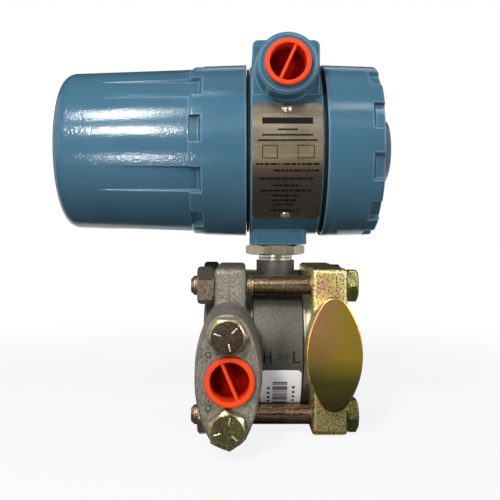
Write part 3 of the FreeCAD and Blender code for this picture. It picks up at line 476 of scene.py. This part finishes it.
looks = {
    "blue_paint": blue_paint(),
    "orange_plastic": orange_plastic(),
    "black_rubber": plain("black_rubber", (0.003, 0.003, 0.003), (0.007, 0.007, 0.006), (0.65, 0.8)),
    "plate_steel": plate_steel(),
    "rivet_steel": turned_steel(
        "rivet_steel", (0.55, 0.53, 0.47), (0.72, 0.70, 0.64), (8, 8, 8), (0.2, 0.35)),
    "neck_steel": turned_steel("neck_steel", (0.36, 0.31, 0.23), (0.52, 0.46, 0.36), (6, 6, 1), (0.3, 0.42)),
    "drum_steel": drum_steel(),
    "foil_steel": turned_steel("foil_steel", (0.55, 0.55, 0.52), (0.70, 0.69, 0.66), (20, 1, 1)),
    "gasket_white": plain("gasket_white", (0.62, 0.61, 0.57), (0.76, 0.75, 0.71), (0.5, 0.65)),
    "header_glass": plain("header_glass", (0.05, 0.12, 0.09), (0.08, 0.16, 0.12), (0.1, 0.2)),
    "cast_stainless": cast_metal("cast_stainless", (0.21, 0.185, 0.145), (0.32, 0.295, 0.24)),
    "yellow_zinc": yellow_zinc(),
    "bolt_plating": bolt_plating(),
    "nut_plating": nut_plating(),
    "adapter_bolt_steel": adapter_bolt_steel(),
    "white_film": plain("white_film", (0.88, 0.88, 0.88), (0.94, 0.94, 0.94), (0.4, 0.5)),
    "board_green": plain("board_green", (0.02, 0.12, 0.05), (0.03, 0.17, 0.07), (0.3, 0.4)),
    "pack_black": plain("pack_black", (0.015, 0.015, 0.018), (0.03, 0.03, 0.034), (0.35, 0.5)),
    "spacer_brass": turned_steel("spacer_brass", (0.55, 0.36, 0.12), (0.70, 0.50, 0.20), (1, 6, 6)),
    "screw_steel": turned_steel("screw_steel", (0.50, 0.50, 0.48), (0.66, 0.66, 0.63), (6, 6, 6)),
    "terminal_plastic": plain("terminal_plastic", (0.02, 0.02, 0.02), (0.04, 0.04, 0.04), (0.4, 0.55)),
    "terminal_brass": turned_steel("terminal_brass", (0.58, 0.40, 0.14), (0.74, 0.55, 0.24), (1, 6, 6)),
}
slot_of = {part["node"]: part["material_slot"] for part in frame["record"]["subparts"]}
for name, shown in nodes.items():
    shown.data.materials.clear()
    shown.data.materials.append(looks[slot_of[name]])

# Ink, bright thread and a casting with painted shade for the small pieces
ink = plain("black_ink", (0.003, 0.003, 0.003), (0.007, 0.0065, 0.006), (0.45, 0.6))
ink.node_tree.nodes["Principled BSDF"].inputs["Specular IOR Level"].default_value = 0.1
bright_thread = turned_steel("bright_thread", (0.42, 0.38, 0.20), (0.62, 0.58, 0.36), (1, 6, 6), (0.22, 0.35))
# Darker copy of the casting: painted shade for the adapter's marks.
dark_casting = cast_metal("dark_casting", (0.08, 0.07, 0.055), (0.14, 0.125, 0.10))


def piece(name, mesh, material, body):
    """Object of a mesh that rides a body."""
    made = bpy.data.objects.new(name, mesh)
    bpy.context.scene.collection.objects.link(made)
    mesh.materials.clear()
    mesh.materials.append(material)
    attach(made, body)


def mesh_piece(name, corners, faces, material, body, slot):
    mesh = bpy.data.meshes.new(name)
    mesh.from_pydata(corners, [], faces)
    mesh.update()
    piece(name, mesh, material, body)


def wrapped(x, angle, radius, axis_z):
    """Point on the front of an X cylinder, by angle above the -Y direction."""
    turn = math.radians(angle)
    return (x, neck_y - radius * math.cos(turn), axis_z + radius * math.sin(turn))


INK_DEPTH = 0.05 * MM
BAND_STEPS = 6


def wrapped_bars(bars, radius, axis_z):
    """Closed thin bars laid on an X cylinder, from (x0, x1, angle0, angle1)."""
    corners, faces = [], []
    for x0, x1, angle0, angle1 in bars:
        base = len(corners)
        for i in range(BAND_STEPS + 1):
            angle = angle0 + (angle1 - angle0) * i / BAND_STEPS
            for reach in (radius, radius + INK_DEPTH):
                corners.append(wrapped(x0, angle, reach, axis_z))
                corners.append(wrapped(x1, angle, reach, axis_z))
        for i in range(BAND_STEPS):
            a, b = base + 4 * i, base + 4 * i + 4
            faces += [(a, b, b + 1, a + 1), (a + 2, a + 3, b + 3, b + 2)]
            faces += [(a, a + 2, b + 2, b), (a + 1, b + 1, b + 3, a + 3)]
        last = base + 4 * BAND_STEPS
        faces += [(base, base + 1, base + 3, base + 2), (last, last + 2, last + 3, last + 1)]
    return corners, faces


def frame_bars(x0, x1, angle0, angle1, line, line_angle):
    """Four bars round an empty field."""
    return [(x0, x1, angle0, angle0 + line_angle), (x0, x1, angle1 - line_angle, angle1),
            (x0, x0 + line, angle0 + line_angle, angle1 - line_angle),
            (x1 - line, x1, angle0 + line_angle, angle1 - line_angle)]


# Print: insets are shares of the width, angles are degrees above the front
TITLE_INSET = 0.14
TITLE_ANGLES = (10.5, 14.5)
RULES = ((7.0, 0.36), (3.6, 0.14), (0.4, 0.08))
RULE_HALF = 0.5
FIELDS = ((0.14, 0.36), (0.64, 0.88))
FIELD_ANGLES = (-10.5, -2.5)
FIELD_LINE = 0.35 * MM
FIELD_LINE_ANGLE = 0.45
DASH_ROWS = ((-14.0, 0.05, 0.05), (-18.0, 0.30, 0.05), (-23.0, 0.08, 0.12), (-27.5, 0.30, 0.34),
             (-31.0, 0.12, 0.14), (-34.5, 0.28, 0.32), (-38.0, 0.28, 0.34), (-41.5, 0.30, 0.40),
             (-46.0, 0.26, 0.30))
DASH_HALF = 0.6
DASHES = (0.9, 1.6, 2.4, 3.2)
DASH_GAP = 0.55 * MM


def nameplate_print():
    """Empty ruled fields and dashes, in the places where the real plate has its print."""
    radius = neck_y - plate_low.y
    left, right = plate_low.x, plate_high.x
    width = right - left
    bars = [(left + width * TITLE_INSET, right - width * TITLE_INSET, *TITLE_ANGLES)]
    for angle, inset in RULES:
        bars.append((left + width * inset, right - width * inset, angle - RULE_HALF, angle + RULE_HALF))
    for start, end in FIELDS:
        sides = (left + width * start, left + width * end)
        bars += frame_bars(*sides, *FIELD_ANGLES, FIELD_LINE, FIELD_LINE_ANGLE)
    draw = random.Random(3)
    for angle, inset_left, inset_right in DASH_ROWS:
        x, end = left + width * inset_left, right - width * inset_right
        while x < end:
            reach = min(x + draw.choice(DASHES) * MM, end)
            bars.append((x, reach, angle - DASH_HALF, angle + DASH_HALF))
            x = reach + DASH_GAP
    mesh_piece("nameplate_print", *wrapped_bars(bars, radius, barrel_z), ink, "housing", "plate_steel")


STRIPE_FIRST = -25.0
STRIPE_LAST = -50.0
STRIPE_INSETS = (0.30, 0.66)
STRIPES = (0.5, 0.9, 1.5)
STRIPE_GAPS = (0.6, 1.0, 1.6)
MARK_COLUMNS = ((0.17, -30.0), (0.78, -29.0))
MARK_COUNT = 4
MARK_STEP = 5.0
MARK_TALL = 2.2
MARK_WIDE = 0.06


def label_print():
    """Plain stripes and short marks on the sticker."""
    radius = outer_radius("sensor_label", drum_z)
    width = label_high.x - label_low.x
    stripe_left, stripe_right = (label_low.x + width * inset for inset in STRIPE_INSETS)
    draw = random.Random(7)
    bars = []
    angle = STRIPE_FIRST
    while angle > STRIPE_LAST:
        thick = draw.choice(STRIPES)
        bars.append((stripe_left, stripe_right, angle - thick, angle))
        angle -= thick + draw.choice(STRIPE_GAPS)
    for inset, first in MARK_COLUMNS:
        for i in range(MARK_COUNT):
            top = first - i * MARK_STEP
            left = label_low.x + width * inset
            bars.append((left, left + width * MARK_WIDE, top - MARK_TALL, top))
    mesh_piece("label_print", *wrapped_bars(bars, radius, drum_z), ink, "sensor", "white_film")


def outer_radius(node, axis_z):
    """Largest distance of a node from the X line through the neck at a height."""
    return max(math.hypot(v.co.y - neck_y, v.co.z - axis_z) for v in nodes[node].data.vertices)


BOLT_HEAD_FLATS = 15.9 * MM
BOLT_RADIUS = 4.95 * MM
BOLT_END_EDGE = 1.6 * MM
THREAD_PITCH = 1.27 * MM
THREAD_CREST = 0.22 * MM
THREAD_SINK = 0.1 * MM
THREAD_PROFILE = ((0.0, 0.0), (0.35, THREAD_CREST), (0.6, THREAD_CREST), (0.95, 0.0))
INSIDE_THREAD = 4.6 * MM
RING_STEPS = 40


def thread_rings(name, spans, material, body, slot):
    """Ridges of a thread along X, from (x0, x1, y, z) spans."""
    corners, faces = [], []
    sides = len(THREAD_PROFILE)
    for x0, x1, y, z in spans:
        count = int((x1 - x0) / THREAD_PITCH)
        for i in range(count):
            start = x0 + i * THREAD_PITCH
            base = len(corners)
            for step in range(RING_STEPS):
                turn = 2 * math.pi * step / RING_STEPS
                for share, rise in THREAD_PROFILE:
                    reach = BOLT_RADIUS - THREAD_SINK + rise
                    corners.append((start + THREAD_PITCH * share,
                                    y + reach * math.cos(turn), z + reach * math.sin(turn)))
            for step in range(RING_STEPS):
                a = base + sides * step
                b = base + sides * ((step + 1) % RING_STEPS)
                for k in range(sides):
                    n = (k + 1) % sides
                    faces.append((a + k, b + k, b + n, a + n))
    mesh_piece(name, corners, faces, material, body, slot)


def bolt_threads():
    """Bright thread on the bolts' tails and where it starts inside the high flange."""
    offset = bolt_high.z - drum_z - BOLT_HEAD_FLATS / 2
    inside = flange_inner_x()
    spans = []
    for y in (neck_y - offset, neck_y + offset):
        for z in (drum_z - offset, drum_z + offset):
            spans.append((bolt_low.x + BOLT_END_EDGE, nut_low.x, y, z))
            spans.append((inside, inside + INSIDE_THREAD, y, z))
    thread_rings("bolt_threads", spans, bright_thread, "sensor", "bolt_plating")


def flange_inner_x():
    """Inner face of the high flange, as far from the neck as that of the blank flange."""
    gap = min(v.co.x for v in nodes["blank_flange"].data.vertices if v.co.y > neck_y) - neck_x
    return neck_x - gap


def round_rod(name, points, material, body):
    """Thin round line through points."""
    curve = bpy.data.curves.new(name, "CURVE")
    curve.dimensions = "3D"
    spline = curve.splines.new("POLY")
    spline.points.add(len(points) - 1)
    for spot, place in zip(spline.points, points):
        spot.co = (*place, 1)
    curve.bevel_depth = LINE_RADIUS
    curve.bevel_resolution = 2
    curve.use_fill_caps = True
    source = bpy.data.objects.new(name + "_curve", curve)
    bpy.context.scene.collection.objects.link(source)
    bpy.context.view_layer.update()
    mesh = bpy.data.meshes.new_from_object(source)
    bpy.data.objects.remove(source)
    piece(name, mesh, material, body)


FLANGE_CORNER = 2.8 * MM
CORNER_STEPS = 8
PARTING_START = 2 * MM
LINE_RADIUS = 0.22 * MM


def parting_line():
    """Line left by the mould over the front corner and top of the high flange."""
    x = high_x
    front = neck_y - (flange_high.z - flange_low.z) / 2
    top = flange_high.z
    points = [(x, front, adapter_high.z - PARTING_START), (x, front, top - FLANGE_CORNER)]
    for i in range(1, CORNER_STEPS + 1):
        turn = math.pi / 2 * i / CORNER_STEPS
        points.append((x, front + FLANGE_CORNER * (1 - math.cos(turn)),
                       top - FLANGE_CORNER * (1 - math.sin(turn))))
    points.append((x, neck_y + (flange_high.z - flange_low.z) / 2 - FLANGE_CORNER, top))
    round_rod("parting_line", points, looks["cast_stainless"], "sensor")


CAST_MARK_X = -8.6 * MM
CAST_MARK_Z = 12.0 * MM
CAST_MARK_RADIUS = 1.25 * MM
CAST_MARK_STEPS = 24


def cast_marks():
    """Small raised rings on the adapter's face, darkened as painted shade."""
    for word, side in (("upper", 1), ("lower", -1)):
        points = []
        for i in range(CAST_MARK_STEPS + 1):
            turn = 2 * math.pi * i / CAST_MARK_STEPS
            points.append((high_x + CAST_MARK_X + CAST_MARK_RADIUS * math.cos(turn), adapter_low.y,
                           port_z + side * CAST_MARK_Z + CAST_MARK_RADIUS * math.sin(turn)))
        round_rod(f"{word}_cast_mark", points, dark_casting, "sensor")


CHEVRON_REACH = 2.0 * MM
CHEVRON_ANGLE = 2.3
CHEVRON_MIDDLE = -4.4
CHEVRON_PLACES = (("first", 1.0 * MM), ("second", 3.9 * MM))


def flow_mark():
    """Two chevrons between the stamped letters."""
    for word, x in CHEVRON_PLACES:
        points = []
        for side in (1, 0, -1):
            reach = CHEVRON_REACH * (0.5 - abs(side))
            angle = CHEVRON_MIDDLE + side * CHEVRON_ANGLE
            points.append(wrapped(neck_x + x + reach, angle, drum_radius, drum_z))
        round_rod(f"{word}_chevron", points, ink, "sensor")


nameplate_print()
label_print()
flow_mark()
bolt_threads()
parting_line()
cast_marks()

# Floor and studio
WORLD_LEVEL = 0.22
FLOOR_HALF = 4.0
FLOOR_TONE = 0.55
FLOOR_NEAR = 0.25
FLOOR_FAR = 0.75
SHADOW_SHARE = 0.2
FLOOR_GLOW = 1.08
CARD_ROUGHNESS = 0.9
UPRIGHT = (math.pi / 2, 0, 0)
FLAT = (0, 0, 0)
LOW_LAMP_HEIGHT = 0.03
SNOOT_POWER = 1.9
SNOOT_ANGLE = math.radians(5.5)
SNOOT_BLEND = 0.6
SNOOT_RADIUS = 0.01
SNOOT_OFFSET = Vector((0, -0.45, 0.03))
middle = Vector((neck_x, neck_y, barrel_z))


def seen_share(tree):
    """One for rays that see the background: from the camera, in reflections and through glass."""
    path = tree.nodes.new("ShaderNodeLightPath")
    share = path.outputs["Is Camera Ray"]
    for kind in ("Is Glossy Ray", "Is Transmission Ray"):
        either = shader_node(tree, "ShaderNodeMath", operation="MAXIMUM")
        tree.links.new(share, either.inputs[0])
        tree.links.new(path.outputs[kind], either.inputs[1])
        share = either.outputs[0]
    return share


def mixed(tree, share, first, second):
    """Mix of two shaders."""
    made = tree.nodes.new("ShaderNodeMixShader")
    for socket, out in zip(made.inputs, (share, first, second)):
        tree.links.new(out, socket)
    return made.outputs[0]


def studio_world():
    """World that is seen as white and lights softly."""
    world = bpy.data.worlds.new("studio")
    bpy.context.scene.world = world
    world.use_nodes = True
    tree = world.node_tree
    tree.nodes.clear()
    soft = shader_node(tree, "ShaderNodeBackground", {"Color": WHITE, "Strength": WORLD_LEVEL})
    white = shader_node(tree, "ShaderNodeBackground", {"Color": WHITE, "Strength": 1.0})
    shown = mixed(tree, seen_share(tree), soft.outputs[0], white.outputs[0])
    tree.links.new(shown, tree.nodes.new("ShaderNodeOutputWorld").inputs[0])


def studio_floor():
    """Floor that is seen as white, with a soft shadow near the object."""
    bpy.ops.mesh.primitive_plane_add(size=2 * FLOOR_HALF, location=(0, 0, 0))
    floor = bpy.context.object
    floor.name = "floor"
    look = bpy.data.materials.new("floor_pale")
    look.use_nodes = True
    tree = look.node_tree
    tree.nodes.clear()
    spot = tree.nodes.new("ShaderNodeTexCoord")
    reach = shader_node(tree, "ShaderNodeVectorMath", operation="LENGTH")
    tree.links.new(spot.outputs["Object"], reach.inputs[0])
    fade = shader_node(tree, "ShaderNodeMapRange", {
        "From Min": FLOOR_NEAR, "From Max": FLOOR_FAR, "To Min": 1 - SHADOW_SHARE, "To Max": 1.0})
    tree.links.new(reach.outputs["Value"], fade.inputs["Value"])
    share = shader_node(tree, "ShaderNodeMath", operation="MULTIPLY")
    tree.links.new(seen_share(tree), share.inputs[0])
    tree.links.new(fade.outputs[0], share.inputs[1])
    matt = shader_node(tree, "ShaderNodeBsdfDiffuse", {"Color": rgba(grey(FLOOR_TONE))})
    glow = shader_node(tree, "ShaderNodeEmission", {"Color": WHITE, "Strength": FLOOR_GLOW})
    shown = mixed(tree, share.outputs[0], matt.outputs[0], glow.outputs[0])
    tree.links.new(shown, tree.nodes.new("ShaderNodeOutputMaterial").inputs[0])
    floor.data.materials.append(look)


def studio_card(name, place, turn, size, tone):
    """Dark card that only reflections and soft light meet."""
    bpy.ops.mesh.primitive_plane_add(size=1, location=place, rotation=turn)
    made = bpy.context.object
    made.name = name
    made.scale = (*size, 1)
    look = bpy.data.materials.new(name)
    look.use_nodes = True
    shader = look.node_tree.nodes["Principled BSDF"]
    shader.inputs["Base Color"].default_value = rgba(grey(tone))
    shader.inputs["Roughness"].default_value = CARD_ROUGHNESS
    made.data.materials.append(look)
    made.visible_camera = False
    made.visible_shadow = False


def aimed(name, lamp, place, target):
    made = bpy.data.objects.new(name, lamp)
    bpy.context.scene.collection.objects.link(made)
    made.location = place
    made.rotation_euler = (target - place).to_track_quat("-Z", "Y").to_euler()
    return made


def area_light(name, offset, size, power):
    """Oval lamp at an offset from the barrel's middle, aimed at it."""
    lamp = bpy.data.lights.new(name, "AREA")
    lamp.shape = "ELLIPSE"
    lamp.size, lamp.size_y = size
    lamp.energy = power
    return aimed(name, lamp, middle + Vector(offset), middle)


def label_snoot():
    """Narrow lamp on the sticker, which lies in the flanges' shade."""
    lamp = bpy.data.lights.new("label_snoot", "SPOT")
    lamp.energy = SNOOT_POWER
    lamp.spot_size = SNOOT_ANGLE
    lamp.spot_blend = SNOOT_BLEND
    lamp.shadow_soft_size = SNOOT_RADIUS
    target = (label_low + label_high) / 2
    aimed("label_snoot", lamp, target + SNOOT_OFFSET, target).visible_glossy = False


studio_world()
studio_floor()
area_light("high_lamp", (-0.255, -0.55, 0.57), (0.07, 0.20), 2.8)
area_light("key", (-0.25, -0.74, 0.31), (0.07, 0.11), 3.0)
area_light("low_lamp", (-0.165, -0.48, LOW_LAMP_HEIGHT - barrel_z), (0.07, 0.04), 0.4)
area_light("right_lamp", (0.19, -0.45, 0.60), (0.10, 0.10), 0.3)
area_light("top", (0.10, 0.10, 0.90), (0.6, 0.4), 0.15)
area_light("overhead", (-0.15, -0.22, 0.76), (0.10, 0.03), 0.2)
area_light("fill", (0.75, -0.65, 0.20), (0.25, 0.4), 2.6)
for word, across in (("left", -0.55), ("right", 0.55)):
    area_light(f"rear_{word}", (across, 0.85, 0.10), (0.5, 0.4), 3.0).visible_glossy = False
label_snoot()
studio_card("dark_front", (0, -1.3, 0.15), UPRIGHT, (2.6, 1.2), 0.05)
studio_card("dark_back", (0, 1.5, 0.65), UPRIGHT, (3.2, 1.2), 0.12)
studio_card("dark_ceiling", (0, -0.2, 1.3), FLAT, (2.6, 2.4), 0.03)
studio_card("dark_corner", (-1.0, 1.25, 1.28), FLAT, (1.7, 0.7), 0.03)
studio_card("dark_table", (0, neck_y - 0.73, 0.001), FLAT, (2.0, 1.7), 0.15)

# Camera
camera = bpy.data.objects.new("camera", bpy.data.cameras.new("camera"))
bpy.context.scene.collection.objects.link(camera)
camera.location = (neck_x - CAMERA_LEFT, neck_y - CAMERA_AHEAD, CAMERA_HEIGHT)
camera.rotation_euler = (math.pi / 2, 0, 0)
camera.data.lens = LENS
camera.data.sensor_width = SENSOR_WIDTH
camera.data.shift_x = SHIFT_X
camera.data.shift_y = SHIFT_Y
camera.data.clip_start = CLIP_START
bpy.context.scene.camera = camera
bpy.context.scene.view_settings.view_transform = "Standard"
